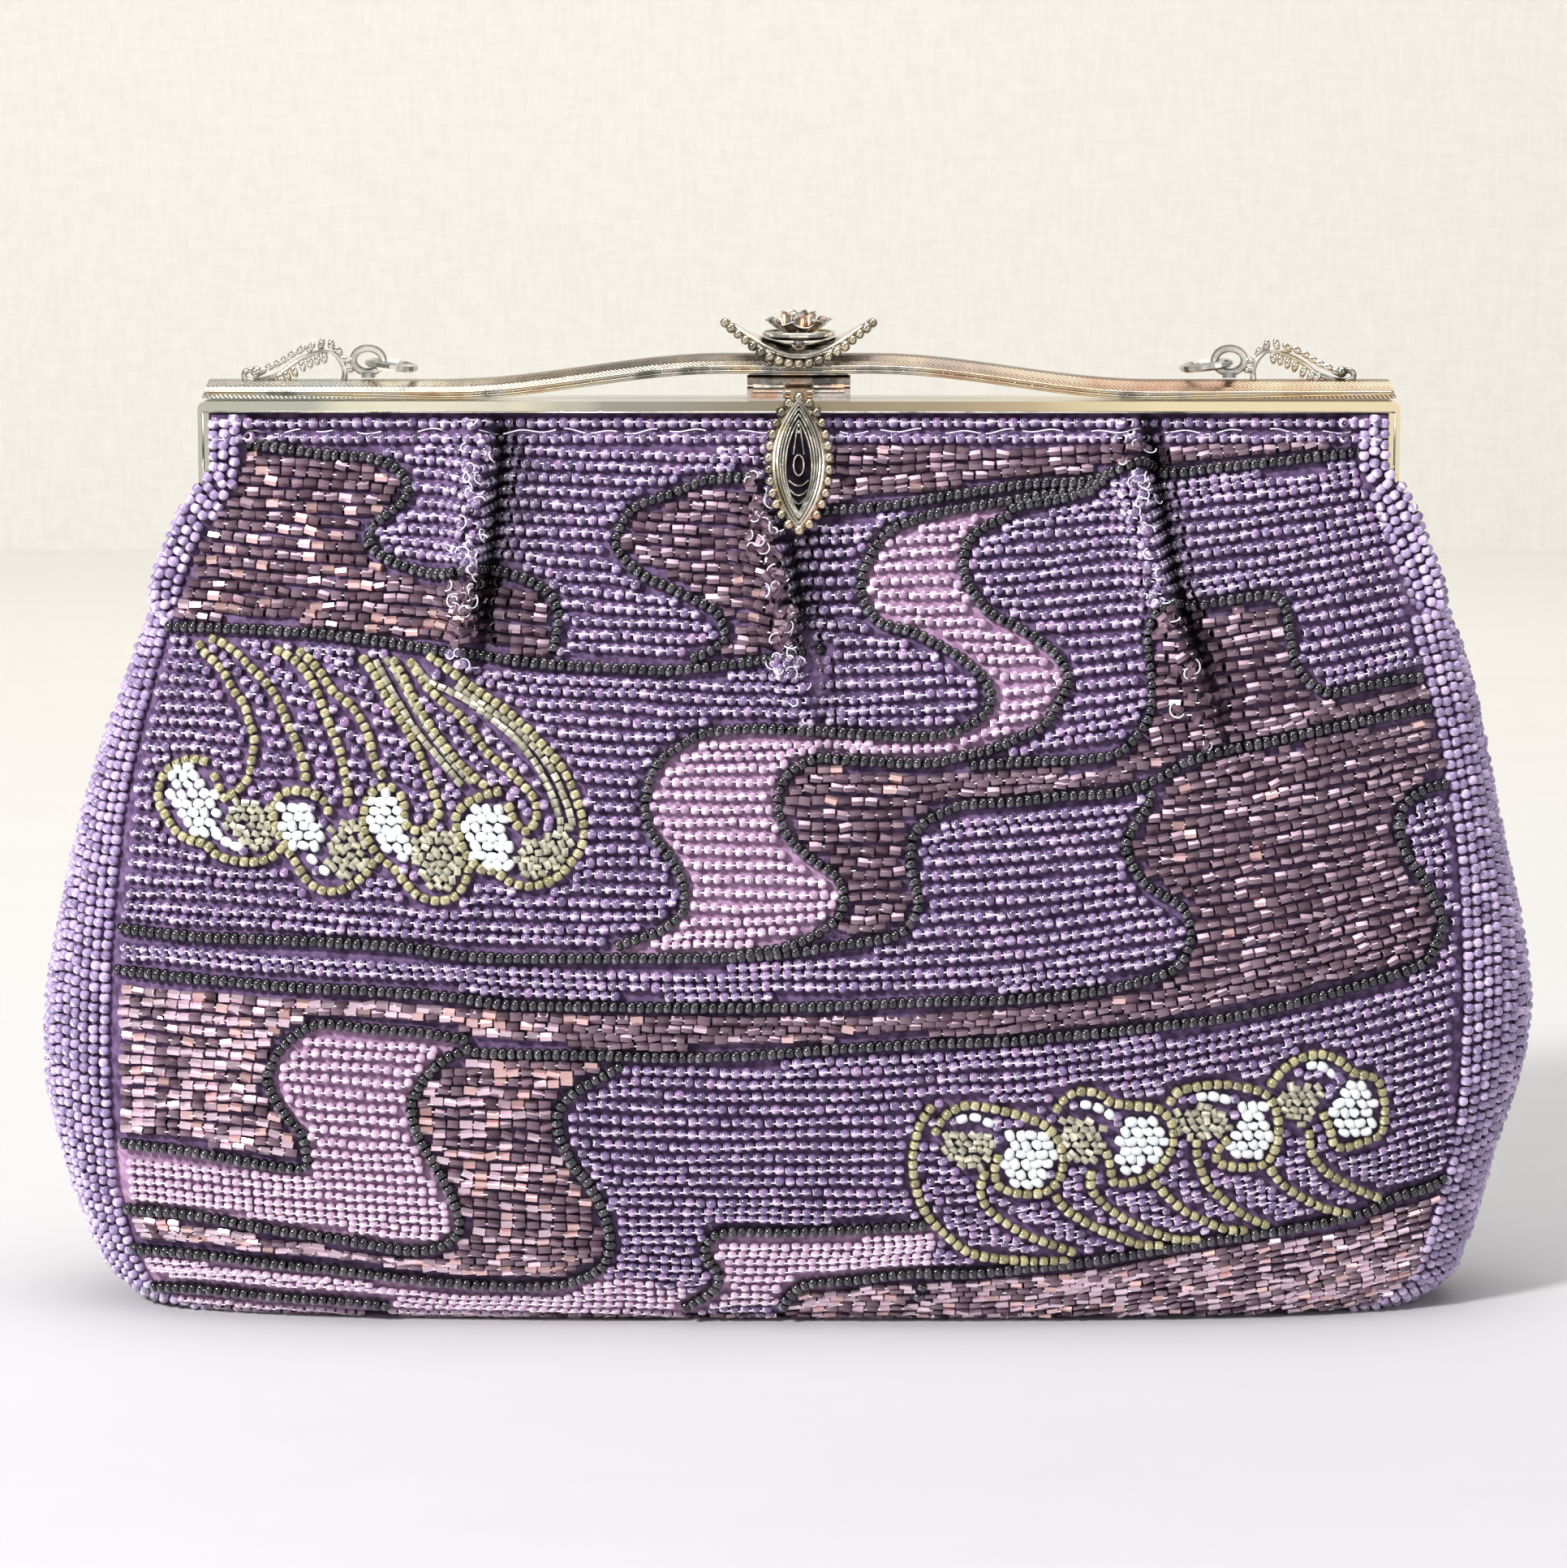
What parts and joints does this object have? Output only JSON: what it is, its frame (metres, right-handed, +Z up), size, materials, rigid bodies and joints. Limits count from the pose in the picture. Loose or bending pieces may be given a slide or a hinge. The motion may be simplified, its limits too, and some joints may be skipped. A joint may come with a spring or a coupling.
{
  "type": "clutch bag",
  "caption": "Evening clutch of glass beadwork on a hinged metal frame with an engraved arch, a leaf-shaped filigree clasp tab and scroll ornaments.",
  "frame": {"origin": "middle of the base, on the surface that the bag stands on", "axes": "+X along the frame to the right seen from the front, +Y to the rear, +Z up"},
  "size_m": [0.2324, 0.0558, 0.1549],
  "materials": {
    "beadwork": "lavender glass seed beads sewn in rows on purple cloth",
    "lining": "satin",
    "board": "stiffener card",
    "nickel": "polished nickel with light wear",
    "silver": "silver plate, cast and polished",
    "steel": "darker plated wire"
  },
  "bodies": {
    "bag": {"front_panel": "beadwork", "rear_panel": "beadwork", "gusset_left": "beadwork", "gusset_right": "beadwork", "lining": "lining", "lining_pocket": "lining", "base_board": "board", "side_rivet_left": "nickel", "side_rivet_right": "nickel"},
    "front_half": {"front_frame": "nickel", "clasp_bracket": "nickel", "clasp_pin": "steel", "catch_tongue": "steel"},
    "rear_half": {"rear_frame": "nickel", "cover_arch": "nickel", "keeper": "nickel", "top_leaf": "silver", "top_leaf_beads": "silver", "flower_disc": "silver", "flower_petals": "silver", "flower_stud": "silver", "feather_left": "silver", "feather_right": "silver", "ring_eye_left": "steel", "ring_eye_right": "steel"},
    "tab": {"leaf_tab": "silver", "tab_filigree": "silver", "tab_bead_border": "silver"},
    "ring_left": {"jump_ring_left": "steel"},
    "ring_right": {"jump_ring_right": "steel"}
  },
  "joints": [
    {"name": "frame_open", "type": "hinge", "parent": "bag", "child": "front_half", "pos_m": [0, 0, 0.114], "axis": [1, 0, 0], "range_deg": [0, 32], "deforming": ["front_panel", "rear_panel", "gusset_left", "gusset_right", "lining"]},
    {"name": "rear_frame_open", "type": "hinge", "parent": "bag", "child": "rear_half", "pos_m": [0, 0, 0.114], "axis": [1, 0, 0], "range_deg": [-32, 0], "deforming": ["front_panel", "rear_panel", "gusset_left", "gusset_right", "lining"]},
    {"name": "tab_lift", "type": "hinge", "parent": "front_half", "child": "tab", "pos_m": [0, -0.005, 0.14265], "axis": [-1, 0, 0], "range_deg": [0, 65]},
    {"name": "ring_left_swing", "type": "hinge", "parent": "rear_half", "child": "ring_left", "pos_m": [-0.0663, 0.0002, 0.14702], "axis": [0, -1, 0], "range_deg": [0, 95]},
    {"name": "ring_right_swing", "type": "hinge", "parent": "rear_half", "child": "ring_right", "pos_m": [0.0663, 0.0002, 0.14702], "axis": [0, 1, 0], "range_deg": [0, 95]}
  ],
  "couplings": [
    {"joint": "rear_frame_open", "follows": "frame_open", "ratio": -1}
  ]
}
